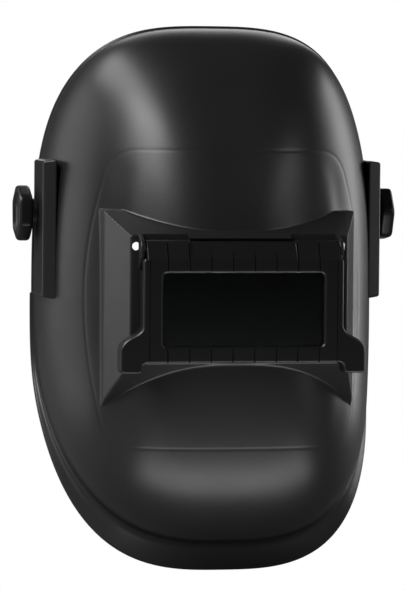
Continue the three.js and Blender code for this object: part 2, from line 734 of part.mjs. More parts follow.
function ratchetWheel() {
  const points = [];
  for (let i = 0; i < 20; i += 1) {
    for (const [radius, share] of [[10.8, 0], [9.6, 0.12]]) {
      const angle = ((i + share) / 20) * 2 * Math.PI;
      points.push([radius * Math.cos(angle), RATCHET.z + radius * Math.sin(angle)]);
    }
  }
  return polygon(points);
}

function addRatchet() {
  const { y, z } = RATCHET;
  const box = (halfX, halfZ, y0, y1) => block([-halfX, halfX], [y0, y1], [z - halfZ, z + halfZ]);
  const slots = [];
  for (const [z0, z1] of [[5, 12.5], [-12.5, -5]]) {
    slots.push(block([-30, 30], [y - 1.5, y + 1.5], [z + z0, z + z1]));
  }
  const back = facing(roundRect(36, 30, 5, 0, z), y - 3.4, y + 6);
  addPiece('ratchet_housing', back.subtract(join(box(16.4, 13.4, y - 1.7, y + 9), ...slots)), 'black');
  const hole = bar('y', [y, y + 20], [0, z], 2.9, 20);
  addPiece('ratchet_cover', facing(roundRect(36, 30, 5, 0, z), y + 6.3, y + 8.3).subtract(hole), 'black');
  const pinion = join(
    facing(pinionShape(), y - 1.1, y + 1.3),
    facing(ratchetWheel(), y + 1.9, y + 3.9),
    bar('y', [y - 1.3, y + 17], [0, z], 2.5, 20),
    bar('y', [y + 1, y + 2.2], [0, z], 4, 20),
  );
  addPiece('ratchet_pinion', pinion, 'nylon');
  const leaf = hull([
    [-13, y + 2, z + 13], [13, y + 2, z + 13], [-13, y + 4, z + 13], [13, y + 4, z + 13],
    [-2, y + 2, z + 11.3], [2, y + 2, z + 11.3], [-2, y + 4, z + 11.3], [2, y + 4, z + 11.3],
  ]);
  const under = leaf.translate(0, 0, 0.8).subtract(block([-40, 40], [0, 200], [z + 13.05, z + 40]));
  addPiece('ratchet_pawl_spring', leaf.subtract(under), 'steel');
  const scallops = [];
  for (let i = 0; i < 10; i += 1) {
    const angle = (i / 10) * 2 * Math.PI;
    const at = [22.5 * Math.cos(angle), z + 22.5 * Math.sin(angle)];
    scallops.push(bar('y', [y, y + 40], at, 5, 12));
  }
  const body = join(
    bar('y', [y + 8.8, y + 10.5], [0, z], 18, 40, 19.5),
    bar('y', [y + 10.5, y + 19], [0, z], 19.5, 40, 18.5),
    bar('y', [y + 19, y + 21], [0, z], 18.5, 40, 16),
  );
  const socket = bar('y', [y, y + 17.5], [0, z], 2.7, 20);
  addPiece('ratchet_knob', body.subtract(join(socket, ...scallops)), 'black');
  addPiece('nape_pad', facing(roundRect(44, 34, 8, 0, z), y - 11, y - 4.2, 5), 'foam');
  addPiece('rear_band_left', mirrored(rearBand(true)), 'nylon');
  addPiece('rear_band_right', rearBand(false), 'nylon');
}

addPiece('helmet_shell', makeShell(), 'shell');
addWindow();
addPivot(-1);
addPivot(1);
addBands();
addRatchet();

export default group;
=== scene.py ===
"""Looks of the welding helmet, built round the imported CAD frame.  Metres, +Z up, face towards -Y."""
import json
import math
from types import SimpleNamespace as Size

import bmesh
import bpy
import numpy as np
from mathutils import Matrix, Vector


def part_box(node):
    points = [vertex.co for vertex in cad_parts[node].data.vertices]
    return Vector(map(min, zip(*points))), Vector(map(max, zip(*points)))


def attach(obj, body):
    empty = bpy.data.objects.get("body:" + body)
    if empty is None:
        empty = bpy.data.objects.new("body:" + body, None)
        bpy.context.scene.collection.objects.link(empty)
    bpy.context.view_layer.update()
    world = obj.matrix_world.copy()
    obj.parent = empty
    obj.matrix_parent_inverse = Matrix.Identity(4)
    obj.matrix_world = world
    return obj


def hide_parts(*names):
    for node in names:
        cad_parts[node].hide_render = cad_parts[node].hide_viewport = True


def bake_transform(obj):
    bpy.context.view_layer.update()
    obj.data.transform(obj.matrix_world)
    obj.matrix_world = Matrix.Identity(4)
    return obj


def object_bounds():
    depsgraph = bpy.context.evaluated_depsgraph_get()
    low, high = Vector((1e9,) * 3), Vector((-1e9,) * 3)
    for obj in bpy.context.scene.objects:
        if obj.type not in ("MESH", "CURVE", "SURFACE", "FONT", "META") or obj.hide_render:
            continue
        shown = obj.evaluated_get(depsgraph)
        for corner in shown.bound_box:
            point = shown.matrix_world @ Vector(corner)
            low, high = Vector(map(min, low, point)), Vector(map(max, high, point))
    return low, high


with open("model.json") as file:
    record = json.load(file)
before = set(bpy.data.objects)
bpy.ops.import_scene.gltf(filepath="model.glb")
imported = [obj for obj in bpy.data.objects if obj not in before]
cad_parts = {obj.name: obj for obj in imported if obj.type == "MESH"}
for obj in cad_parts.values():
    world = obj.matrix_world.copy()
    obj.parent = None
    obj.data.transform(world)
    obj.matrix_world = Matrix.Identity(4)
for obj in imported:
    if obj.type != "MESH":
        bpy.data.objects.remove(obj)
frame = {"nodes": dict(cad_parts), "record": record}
CAD_BOX = [list(corner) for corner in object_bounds()]
SIDES = {"left": -1, "right": 1}

# ------------ driving sizes
SHELL = Size(
    mid_z=-0.05, half_width=0.1063, above=0.1657, below=0.1492, front_y=-0.112, side_y=0.0105,
    power_above=3.14, power_below=2.8, fullness=1.95, fuller_top=-0.1, fuller_chin=0.4,
    wall=0.0026, chin_from_z=-0.105, chin_slope=0.86, crown_from_z=0.0675, crown_slope=0.56,
    rim_blend=0.012,
)
FLANGE = Size(half_width=0.1087, below=0.167, power=3.0, lip=0.0015, edge=0.0012, fillet=0.005,
              fillet_share=0.4, lean=0.0025, lean_over=0.012, shoulder=0.001, shoulder_drop=0.0008)
CORE_Y = -0.025  # the shell is measured along rays from (0, CORE_Y, mid_z)
PLATFORM = Size(front_y=-0.1122, half_width=0.0665, top_z=-0.0096, bottom_z=-0.0865,
                side_slope=0.36, top_slope=0.438, bottom_slope=0.82, outer_blend=0.0012,
                inner_blend=0.002, deep_x=0.0777, deep_top_z=0.0045, deep_bottom_z=-0.115)
BOSS = Size(face_x=0.107, root_x=0.0985, back_root_x=0.1008, front_y=-0.029, back_y=0.008,
            top_z=0.033, bottom_z=-0.051, front_draw=0.003, end_draw=0.0012, rounding=0.0014)
BORE = Size(mid_x=0.105, radius=0.0045, length=0.03)
SEAT = Size(under=0.0012, over=0.0003, around=0.0004)
WINDOW = Size(width=0.098, height=0.044, mid_z=-0.0535, corner=0.004, cutter_corner=0.0025,
              rim=0.0019, back_y=-0.119)
PLATE = Size(width=0.109, height=0.052, corner=0.002, pocket_y=-0.1245)
HINGE = Size(y=-0.1182, z=-0.0173, knuckle=0.0053, knuckle_from=0.032, knuckle_to=0.0586,
             rod_bore=0.00165, spring_room=0.0036, spring_half=0.03, room_drop=0.0042,
             relief=(-0.12, -0.1101, -0.0245, -0.006))  # from and to in Y, then in Z
EAR = Size(inner_x=0.0593, outer_x=0.0619, mid_x=0.0606, rounding=0.0005, notch_inner=0.0589,
           notch_outer=0.0625, notch=(-0.1215, -0.105, -0.0305, -0.02))  # as in HINGE.relief
POST = Size(x=0.0578, mid_y=-0.1047, up=0.022, radius=0.0022, length=0.01)
FLIP = Size(front_y=-0.127, back_y=-0.1128, half_width=0.061, top_z=-0.0228, bottom_z=-0.0852,
            tab_x=0.0746, tab_z=-0.0915, middle_x=0.0572, rounding=0.0015, crease=0.0004)
PEEP = Size(x=0.0632, mid_y=-0.095, z=-0.016, radius=0.0025, length=0.07)
PANEL = Size(mid_z=-0.049, top_z=0.041, bottom_z=-0.139, half_width=0.086, top_draw=0.016,
             bottom_draw=0.011, corner=0.014, back_y=-0.03, groove=0.00016, groove_width=0.0007,
             cove=0.0007, cove_in=0.01, cove_width=0.0075, cove_from_x=0.055, cove_blend=0.015)
KNOB = Size(inner_x=0.1107, outer_x=0.1196, apothem=0.01565, bore=0.00435, turn=dict(left=36, right=7))
BAND = Size(mid_y=0.025, half_width=0.079, half_depth=0.091, tilt=0.33, side_z=0.005)
RATCHET = Size(y=0.11, z=-0.02503, pitch_radius=0.006, teeth=12)
ARM = Size(disc_x=0.0959, disc_radius=0.015, thick=0.002, bore=0.0042)
CROWN = Size(side=0.0816, base_z=0.012, end_z=-0.003, mid_y=0.015, width=0.022,
             crowns=dict(left=0.0784, right=0.0806), holes=(8, 14, 20, 26, 32), hole_radius=0.0019)
SWEATBAND = Size(reach=51.4, thick=0.0046, height=0.028, corner=0.002, inset=0.00465,
                 channel=13, seam_z=0.0112, stitch_inset=0.007, stitch_reach=49, stitch_step=2.4)
NAPE = Size(width=0.0418, height=0.0318, corner=0.008, front=0.0102, mid=0.0076, back=0.005,
            border_x=0.0218, border_z=0.0168, seam_in=0.004, seam_width=0.0008, pinch=0.34,
            stitch_front=0.0096, stitch_pitch=0.0036)
REAR = Size(start_x=0.0644, end_x=-0.0138, half=0.0095, rack_near=0.0072, rack_far=0.012)
SCORE = Size(count=8, pitch=0.0132, half=0.00058, out=0.0005, deep=0.00062)
AROUND = 1008  # points round each ring of the shell
ALONG = 240  # rings from its rim to the window


# ------------ mesh helpers
def linked(name, data, material=None):
    made = bpy.data.objects.new(name, data)
    bpy.context.scene.collection.objects.link(made)
    if material:
        data.materials.append(material)
    return made


def mesh_object(name, points, faces, material=None):
    mesh = bpy.data.meshes.new(name)
    mesh.from_pydata([tuple(p) for p in points], [], [tuple(f) for f in faces])
    mesh.update()
    return linked(name, mesh, material)


def from_bmesh(name, shape, material=None):
    """An object made from a bmesh, which it frees."""
    mesh = bpy.data.meshes.new(name)
    shape.to_mesh(mesh)
    shape.free()
    return linked(name, mesh, material)


def face_outwards(piece):
    shape = bmesh.new()
    shape.from_mesh(piece.data)
    bmesh.ops.recalc_face_normals(shape, faces=shape.faces)
    shape.to_mesh(piece.data)
    shape.free()


def grid_faces(rows, columns, close_rows=False):
    """Quads of a grid whose columns close on themselves, and whose rows may."""
    r = np.arange(rows if close_rows else rows - 1)
    c = np.arange(columns)
    rr, cc = np.meshgrid(r, c, indexing="ij")
    nr = (rr + 1) % rows
    nc = (cc + 1) % columns
    quads = np.stack([rr * columns + cc, rr * columns + nc, nr * columns + nc, nr * columns + cc], -1)
    return quads.reshape(-1, 4)


def vertices(piece):
    return np.array([v.co for v in piece.data.vertices])


def move_vertices(piece, places):
    piece.data.vertices.foreach_set("co", places.ravel())


def apply_modifiers(piece):
    graph = bpy.context.evaluated_depsgraph_get()
    mesh = bpy.data.meshes.new_from_object(piece.evaluated_get(graph))
    piece.modifiers.clear()
    old = piece.data
    piece.data = mesh
    bpy.data.meshes.remove(old)


def combine(piece, other, operation):
    """Joins two solids by a boolean and removes the second."""
    cut = piece.modifiers.new("combine", "BOOLEAN")
    cut.operation = operation
    cut.solver = "EXACT"
    cut.object = other
    apply_modifiers(piece)
    bpy.data.objects.remove(other)


def prism(name, outline, start, end, axis, material=None):
    """An outline run along X (drawn in Y, Z) or along Y (drawn in X, Z), from start to end."""
    shape = bmesh.new()
    rings = []
    for t in (start, end):
        rings.append([shape.verts.new((t, a, b) if axis == "x" else (a, t, b)) for a, b in outline])
    count = len(outline)
    for i in range(count):
        j = (i + 1) % count
        shape.faces.new((rings[0][i], rings[0][j], rings[1][j], rings[1][i]))
    shape.faces.new(rings[0])
    shape.faces.new(rings[1])
    bmesh.ops.recalc_face_normals(shape, faces=shape.faces)
    return from_bmesh(name, shape, material)


def box_cutter(x0, x1, y0, y1, z0, z1):
    return prism("cutter", [(x0, z0), (x1, z0), (x1, z1), (x0, z1)], y0, y1, "y")


def cylinder(name, axis, centre, radius, length):
    rotate = Vector((0, 0, 1)).rotation_difference(Vector(axis)).to_matrix().to_4x4()
    shape = bmesh.new()
    bmesh.ops.create_cone(shape, cap_ends=True, segments=48, radius1=radius, radius2=radius, depth=length,
                          matrix=Matrix.Translation(centre) @ rotate)
    return from_bmesh(name, shape)


def loft(name, rows, material=None):
    """Joins a row of matching rings and caps both ends."""
    rows = np.asarray(rows)
    count = rows.shape[1]
    last = (len(rows) - 1) * count
    faces = [*grid_faces(len(rows), count), range(count), range(last, last + count)]
    piece = mesh_object(name, rows.reshape(-1, 3), faces, material)
    face_outwards(piece)
    return piece


def round_rect(width, height, radius, mid_z, steps=6):
    """The outline of a rectangle with rounded corners, centred on (0, mid_z)."""
    points = []
    for quarter, (sx, sz) in enumerate(((1, 1), (-1, 1), (-1, -1), (1, -1))):
        for k in range(steps + 1):
            angle = (quarter + k / steps) * math.pi / 2
            points.append((sx * (width / 2 - radius) + radius * math.cos(angle),
                           mid_z + sz * (height / 2 - radius) + radius * math.sin(angle)))
    return points


def bevel(piece, width, segments=3, angle=30, apply=True):
    edge = piece.modifiers.new("edge", "BEVEL")
    edge.width = width
    edge.segments = segments
    edge.limit_method = "ANGLE"
    edge.angle_limit = math.radians(angle)
    if apply:
        apply_modifiers(piece)
    return piece


def smooth_by_angle(piece, degrees):
    """Smooth shading, except across edges where the faces turn by more than the angle."""
    piece.data.shade_smooth()
    sharp = math.radians(degrees)
    edges = bmesh.new()
    edges.from_mesh(piece.data)
    for edge in edges.edges:
        edge.smooth = len(edge.link_faces) == 2 and edge.calc_face_angle(0) < sharp
    edges.to_mesh(piece.data)
    edges.free()
    weigh = piece.modifiers.new("weigh", "WEIGHTED_NORMAL")
    weigh.keep_sharp = True


def belongs(piece, body, slot, *replaced, angle=None):
    """Shades a piece, and says its body and the CAD nodes it replaces; the slot argument is not used."""
    if angle:
        smooth_by_angle(piece, angle)
    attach(piece, body)
    if replaced:
        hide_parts(*replaced)


def smooth_max(a, b, k):
    h = np.clip(0.5 + 0.5 * (a - b) / k, 0, 1)
    return b + (a - b) * h + k * h * (1 - h)


def smooth_min(a, b, k):
    return -smooth_max(-a, -b, k)


def ease(x):
    x = np.clip(x, 0, 1)
    return x * x * (3 - 2 * x)


# ------------ shell's formula
def soft_ramp(x):
    """Zero well below 0 and x well above it, with a smooth turn between."""
    return SHELL.rim_blend * np.log1p(np.exp(x / SHELL.rim_blend))


def oval(phi, half_width, above, below, power_above, power_below):
    """Radius at angle phi of an oval whose upper and lower halves have their own powers."""
    up = np.sin(phi) >= 0
    power = np.where(up, power_above, power_below)
    reach = np.where(up, above, below)
    c = np.abs(np.cos(phi)) / half_width
    s = np.abs(np.sin(phi)) / reach
    return (c**power + s**power) ** (-1 / power)


def body_radius(phi):
    s = SHELL
    return oval(phi, s.half_width, s.above, s.below, s.power_above, s.power_below)


def flange_radius(phi):
    f = FLANGE
    wide = oval(phi, f.half_width, SHELL.above, f.below, f.power, f.power)
    wide = np.where(np.sin(phi) > 0, 0, wide)
    return np.maximum(wide, body_radius(phi) + f.lip)


def rim_y(z):
    """Y of the shell's rear edge at a height, which runs forward to the chin and to the crown."""
    chin = SHELL.chin_slope * soft_ramp(SHELL.chin_from_z - z)
    crown = SHELL.crown_slope * soft_ramp(z - SHELL.crown_from_z)
    return SHELL.side_y - chin - crown


def fullness(phi):
    s = np.sin(phi)
    side = SHELL.fullness
    return np.where(s > 0, side + SHELL.fuller_top * s, side + SHELL.fuller_chin * s * s)


def body_section(phi, q):
    """Radius and Y of the shell's outside at angle phi, q from 0 at the rim to 1 in front."""
    power = 2 / fullness(phi)
    radius = body_radius(phi) * np.cos(q * np.pi / 2) ** power
    rim = rim_y(SHELL.mid_z + body_radius(phi) * np.sin(phi))
    return radius, rim + (SHELL.front_y - rim) * np.sin(q * np.pi / 2) ** power


CORE = np.array((0.0, CORE_Y, SHELL.mid_z))


def reach_to_planes(direction, planes, inset, rounding):
    """How far rays from the core run inside a set of planes (normal, offset), edges rounded."""
    far, grazing = 1.0, 1e-4
    reach = np.full(direction.shape[:-1], far)
    for normal, offset in planes:
        normal = np.asarray(normal, float)
        facing = direction @ normal
        room = offset - inset * np.linalg.norm(normal) - CORE @ normal
        meets = np.where(facing > grazing, room / np.maximum(facing, grazing), far)
        reach = smooth_min(reach, meets, rounding)
    return reach


def platform_planes():
    """Planes (normal, offset) of the truncated pyramid that carries the window."""
    p = PLATFORM
    side, top, bottom, y = p.side_slope, p.top_slope, p.bottom_slope, p.front_y
    return [
        ((0, -1, 0), -y),
        ((1, -side, 0), p.half_width - side * y),
        ((-1, -side, 0), p.half_width - side * y),
        ((0, -top, 1), p.top_z - top * y),
        ((0, -bottom, -1), -p.bottom_z - bottom * y),
        ((1, 0, 0), p.deep_x),
        ((-1, 0, 0), p.deep_x),
        ((0, 0, 1), p.deep_top_z),
        ((0, 0, -1), -p.deep_bottom_z),
    ]


def window_edge(phi):
    """Distance from the core's axis to the edge of the window opening, at angle phi."""
    drop = SHELL.mid_z - WINDOW.mid_z
    c, s = np.cos(phi), np.sin(phi)
    across = WINDOW.width / 2 / np.maximum(np.abs(c), 1e-6)
    high = WINDOW.height / 2 - np.sign(s) * drop
    return smooth_min(across, high / np.maximum(np.abs(s), 1e-6), WINDOW.corner)


def grid_normals(points):
    round_ = np.roll(points, -1, axis=1) - np.roll(points, 1, axis=1)
    along = np.gradient(points, axis=0)
    normal = np.cross(round_, along)
    normal /= np.maximum(np.linalg.norm(normal, axis=-1, keepdims=True), 1e-12)
    outward = points - CORE
    return normal * np.sign((normal * outward).sum(-1, keepdims=True))


def panel_inside(x, z):
    """Distance inside the outline of the grained front panel, negative outside it."""
    p = PANEL
    up = z > p.mid_z
    reach = np.where(up, p.top_z - p.mid_z, p.mid_z - p.bottom_z)
    draw = np.where(up, p.top_draw, p.bottom_draw)
    across = p.half_width - draw * ((z - p.mid_z) / reach) ** 2 - np.abs(x)
    high = np.minimum(p.top_z - z, z - p.bottom_z)
    return smooth_min(across, high, p.corner)


def panel_depth(points):
    """A fine groove round the panel, and a shallow cove inside its two sides."""
    p = PANEL
    x, y, z = points[..., 0], points[..., 1], points[..., 2]
    inside = panel_inside(x, z)
    groove = p.groove * np.exp(-((inside / p.groove_width) ** 2))
    cove = p.cove * np.exp(-(((inside - p.cove_in) / p.cove_width) ** 2))
    cove = cove * ease((np.abs(x) - p.cove_from_x) / p.cove_blend)
    return np.where(y < p.back_y, groove + cove, 0)


def flange_fillet(phi):
    width = flange_radius(phi) - body_radius(phi)
    return np.minimum(FLANGE.fillet, FLANGE.fillet_share * width)


def shell_points():
    """Rings of points: inside from window to rim, round the flange, outside from rim to window."""
    phi = np.arange(AROUND) / AROUND * 2 * np.pi
    table_q = np.sin(np.linspace(0, 1, 400) * np.pi / 2) ** 1.5
    radius, y = body_section(phi[None, :], table_q[:, None])
    angle = np.arctan2(radius, CORE_Y - y)
    length = np.hypot(radius, CORE_Y - y)
    rim = rim_y(SHELL.mid_z + body_radius(phi) * np.sin(phi))
    fillet = flange_fillet(phi)
    near = np.arctan2(window_edge(phi), CORE_Y - PLATFORM.front_y)
    share = np.linspace(0, 1, ALONG)
    angles = np.empty((ALONG, AROUND))
    body = np.empty_like(angles)
    for i in range(AROUND):
        order = np.argsort(y[:, i])
        far = np.interp(rim[i] - fillet[i], y[order, i], angle[order, i])
        angles[:, i] = far + (near[i] - far) * share
        order = np.argsort(angle[:, i])
        body[:, i] = np.interp(angles[:, i], angle[order, i], length[order, i])
    direction = np.stack([
        np.sin(angles) * np.cos(phi), -np.cos(angles), np.sin(angles) * np.sin(phi)], -1)
    plain = CORE + direction * body[..., None]
    slant = np.abs((grid_normals(plain) * direction).sum(-1))
    wall, outer_blend, inner_blend = SHELL.wall, PLATFORM.outer_blend, PLATFORM.inner_blend
    platform_out = reach_to_planes(direction, platform_planes(), 0, outer_blend)
    outer = smooth_max(body, platform_out, outer_blend)
    least_slant = 0.5
    inner = body - wall / np.maximum(slant, least_slant)
    platform_in = reach_to_planes(direction, platform_planes(), wall, inner_blend)
    inner = smooth_max(inner, platform_in, inner_blend)
    depth = panel_depth(CORE + direction * outer[..., None])
    fade = 0.0008
    on_body = ease(1 - (outer - body) / fade)
    outer = outer - depth * on_body
    outside = CORE + direction * outer[..., None]
    inside = CORE + direction * inner[..., None]
    return np.array([*inside[::-1][::3], *flange_rows(phi, outside[0], inside[0], rim), *outside])


def flange_rows(phi, last_outside, first_inside, rim):
    """Rings from the inner wall's edge, round the flange's rolled edge, to the body's crease."""
    base = body_radius(phi)
    fillet = flange_fillet(phi)
    edge = FLANGE.edge
    wide = flange_radius(phi)
    lean = FLANGE.lean * ease((wide - base) / FLANGE.lean_over)
    back = rim + 2 * edge
    rows = []

    def radial(radius, y):
        return np.stack([radius * np.cos(phi), y + 0 * phi, SHELL.mid_z + radius * np.sin(phi)], -1)

    inner_radius = np.hypot(first_inside[:, 0], first_inside[:, 2] - SHELL.mid_z)
    inner_y = first_inside[:, 1]
    shoulder = inner_radius + FLANGE.shoulder
    for t in (0.35, 0.7):
        rows.append(radial(inner_radius, inner_y + (back - FLANGE.shoulder_drop - inner_y) * t))
    rows.append(radial(inner_radius + 0.0002, back - FLANGE.shoulder_drop))
    rows.append(radial(shoulder, back))
    run = np.maximum(wide - edge - shoulder, 0)
    for t in (0.25, 0.5, 0.75):
        rows.append(radial(shoulder + run * t, back + lean * t))
    for k in range(9):
        turn = math.pi * k / 8
        out = edge * math.sin(turn)
        rows.append(radial(wide - edge + out, rim + lean + edge + edge * math.cos(turn)))
    start = base + fillet
    run = np.maximum(wide - edge - start, 0)
    for t in (0.75, 0.5, 0.25, 0.0):
        rows.append(radial(start + run * t, rim + lean * t))
    base_now = np.hypot(last_outside[:, 0], last_outside[:, 2] - SHELL.mid_z)
    proud = np.maximum(base_now - base, 0)
    for k in range(1, 5):
        turn = math.pi / 2 * k / 5
        out = fillet * (1 - math.sin(turn))
        rows.append(radial(base + out + proud * k / 5, rim - fillet * (1 - math.cos(turn))))
    return rows


# ------------ materials
def set_inputs(made, values):
    for key, value in values.items():
        made.inputs[key].default_value = value


def new_material(name, colour, roughness, metallic=0.0):
    material = bpy.data.materials.new(name)
    material.use_nodes = True
    shader = material.node_tree.nodes["Principled BSDF"]
    set_inputs(shader, {"Base Color": (*colour, 1), "Roughness": roughness, "Metallic": metallic})
    return material, material.node_tree, shader


def node(tree, kind, **values):
    made = tree.nodes.new(kind)
    for key, value in values.items():
        if key in made.inputs:
            made.inputs[key].default_value = value
        else:
            setattr(made, key, value)
    return made


def texture(tree, kind, stretch=None, turn=0, **values):
    """A texture read by place in the scene, which can be stretched in X and turned about Y."""
    where = node(tree, "ShaderNodeNewGeometry").outputs["Position"]
    made = node(tree, kind, **values)
    if stretch:
        mapping = node(tree, "ShaderNodeMapping")
        set_inputs(mapping, {"Scale": (stretch, 1.0, 1.0), "Rotation": (0, turn, 0)})
        tree.links.new(where, mapping.inputs["Vector"])
        where = mapping.outputs["Vector"]
    tree.links.new(where, made.inputs["Vector"])
    return made


def bump_from(tree, shader, height, strength, distance):
    bump = node(tree, "ShaderNodeBump", Strength=strength, Distance=distance)
    tree.links.new(height, bump.inputs["Height"])
    tree.links.new(bump.outputs["Normal"], shader.inputs["Normal"])


def vary_roughness(tree, shader, value, low, high, start=0.0):
    """Roughness from low to high as the value runs from start to 1."""
    span = node(tree, "ShaderNodeMapRange")
    set_inputs(span, {"From Min": start, "To Min": low, "To Max": high})
    tree.links.new(value.outputs["Fac"], span.inputs["Value"])
    tree.links.new(span.outputs["Result"], shader.inputs["Roughness"])


def grained_plastic(name, colour, roughness, grain=0.00025, height=0.00002, uneven=0.06):
    """Moulded plastic: a fine pebbled grain, and roughness that drifts a little."""
    material, tree, shader = new_material(name, colour, roughness)
    pebbles = texture(tree, "ShaderNodeTexNoise", Scale=1 / grain, Detail=2.0, Roughness=0.6)
    bump_from(tree, shader, pebbles.outputs["Fac"], 0.5, height)
    drift = texture(tree, "ShaderNodeTexNoise", Scale=28.0, Detail=4.0)
    vary_roughness(tree, shader, drift, roughness - uneven, roughness + uneven)
    return material


def shell_plastic():
    """Satin black moulding: smooth outside the front panel, speckled with a coarser grain inside."""
    material = grained_plastic("shell_plastic", (0.0125, 0.0125, 0.0135), 0.34, grain=0.00045)
    tree = material.node_tree
    shader = tree.nodes["Principled BSDF"]
    speckle = texture(tree, "ShaderNodeTexNoise", Scale=1500.0, Detail=1.0)
    panel = node(tree, "ShaderNodeAttribute", attribute_name="panel")
    weight = node(tree, "ShaderNodeMath", operation="MULTIPLY")
    tree.links.new(panel.outputs["Fac"], weight.inputs[0])
    set_inputs(weight, {1: 0.9})
    coarse = node(tree, "ShaderNodeBump", Distance=0.00006)
    tree.links.new(weight.outputs[0], coarse.inputs["Strength"])
    tree.links.new(speckle.outputs["Fac"], coarse.inputs["Height"])
    fine = shader.inputs["Normal"].links[0].from_node
    tree.links.new(fine.outputs["Normal"], coarse.inputs["Normal"])
    tree.links.new(coarse.outputs["Normal"], shader.inputs["Normal"])
    return material


def brushed_steel():
    """Plated steel with fine lines along X in its gloss."""
    material, tree, shader = new_material("steel", (0.55, 0.55, 0.56), 0.28, metallic=1.0)
    lines = texture(tree, "ShaderNodeTexNoise", stretch=0.03, Scale=6000.0, Detail=2.0)
    vary_roughness(tree, shader, lines, 0.2, 0.42)
    return material


def knit_fabric():
    """Brushed knit over foam: small loops, a soft nap, and a colour that varies a little."""
    material, tree, shader = new_material("padding", (0.045, 0.047, 0.053), 0.92)
    set_inputs(shader, {"Sheen Weight": 0.35, "Sheen Roughness": 0.5})
    loops = texture(tree, "ShaderNodeTexVoronoi", Scale=900.0)
    fuzz = texture(tree, "ShaderNodeTexNoise", Scale=3500.0, Detail=3.0)
    patches = texture(tree, "ShaderNodeTexNoise", Scale=60.0, Detail=4.0)
    nap = node(tree, "ShaderNodeMath", operation="ADD")
    tree.links.new(loops.outputs["Distance"], nap.inputs[0])
    tree.links.new(fuzz.outputs["Fac"], nap.inputs[1])
    bump_from(tree, shader, nap.outputs[0], 0.8, 0.0003)
    tint = node(tree, "ShaderNodeMixRGB")
    set_inputs(tint, {1: (0.036, 0.038, 0.043, 1), 2: (0.062, 0.064, 0.071, 1)})
    tree.links.new(patches.outputs["Fac"], tint.inputs[0])
    tree.links.new(tint.outputs[0], shader.inputs["Base Color"])
    return material


def smeared_glass(name, colour, roughness, smear):
    """Polished plate with faint wipe marks in its gloss."""
    material, tree, shader = new_material(name, colour, roughness)
    wipes = texture(tree, "ShaderNodeTexNoise", stretch=0.35, turn=0.4, Scale=30.0, Detail=2.0)
    vary_roughness(tree, shader, wipes, roughness, roughness + smear, start=0.45)
    return material


def make_materials():
    made = {
        "shell_plastic": shell_plastic(),
        "black_plastic": grained_plastic("black_plastic", (0.0065, 0.0065, 0.0072), 0.3),
        "nylon": grained_plastic("nylon", (0.022, 0.022, 0.024), 0.45, grain=0.0006),
        "rubber": grained_plastic("rubber", (0.012, 0.012, 0.012), 0.8, grain=0.0004),
        "thread": grained_plastic("thread", (0.16, 0.165, 0.175), 0.7, grain=0.0003, height=0.00005),
        "steel": brushed_steel(),
        "padding": knit_fabric(),
        "filter_glass": smeared_glass("filter_glass", (0.0012, 0.0032, 0.0024), 0.04, 0.03),
        "clear_plate": smeared_glass("clear_plate", (0.92, 0.95, 0.94), 0.01, 0.015),
    }
    clear = made["clear_plate"].node_tree.nodes["Principled BSDF"]
    set_inputs(clear, {"Transmission Weight": 1.0, "IOR": 1.49})
    return made


# ------------ pieces
def boss_block(side):
    """The raised pad round a pivot: a flat face with drawn sides, rooted inside the shell's wall."""
    b = BOSS
    root = (b.root_x, b.back_root_x, b.front_y - b.front_draw, b.end_draw)
    face = (b.face_x, b.face_x, b.front_y, 0.0)
    rings = []
    for x, back_x, front, grow in (root, face):
        low, high = b.bottom_z - grow, b.top_z + grow
        rings.append([(side * x, front, low), (side * back_x, b.back_y, low),
                      (side * back_x, b.back_y, high), (side * x, front, high)])
    return bevel(loft("boss", rings), b.rounding, 4, 40)


def shell_cutters(side):
    """One side's peep hole, pivot bore, washer seat and room behind a hinge knuckle."""
    washer_low, washer_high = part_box("friction_washer_right")
    seat_x = (washer_low[0] - SEAT.under, washer_high[0] + SEAT.over)
    ends = sorted((side * (HINGE.knuckle_from - 0.0006), side * (HINGE.knuckle_to + 0.0004)))
    return [
        cylinder("peep", (0, 1, 0), (side * PEEP.x, PEEP.mid_y, PEEP.z), PEEP.radius, PEEP.length),
        cylinder("bore", (1, 0, 0), (side * BORE.mid_x, 0, 0), BORE.radius, BORE.length),
        cylinder("washer_seat", (1, 0, 0), (side * sum(seat_x) / 2, 0, 0),
                 washer_high[1] + SEAT.around, seat_x[1] - seat_x[0]),
        box_cutter(*ends, *HINGE.relief),
    ]


def make_shell(materials):
    """The moulded shell with its two bosses, its holes, and a mask for the grained panel."""
    rows = shell_points()
    faces = grid_faces(len(rows), AROUND, close_rows=True)
    shell = mesh_object("face_shell", rows.reshape(-1, 3), faces, materials["shell_plastic"])
    face_outwards(shell)
    for side in SIDES.values():
        combine(shell, boss_block(side), "UNION")
    first, *others = [cutter for side in SIDES.values() for cutter in shell_cutters(side)]
    for other in others:
        combine(first, other, "UNION")
    combine(shell, first, "DIFFERENCE")
    grain = shell.data.attributes.new("panel", "FLOAT", "POINT")
    places = vertices(shell)
    inside = ease(panel_inside(places[:, 0], places[:, 2]) / 0.002 + 0.5)
    grain.data.foreach_set("value", np.where(places[:, 1] < PANEL.back_y, inside, 0))
    belongs(shell, "shell", "shell_plastic", "helmet_shell", angle=32)
    make_hinge_ears(materials)


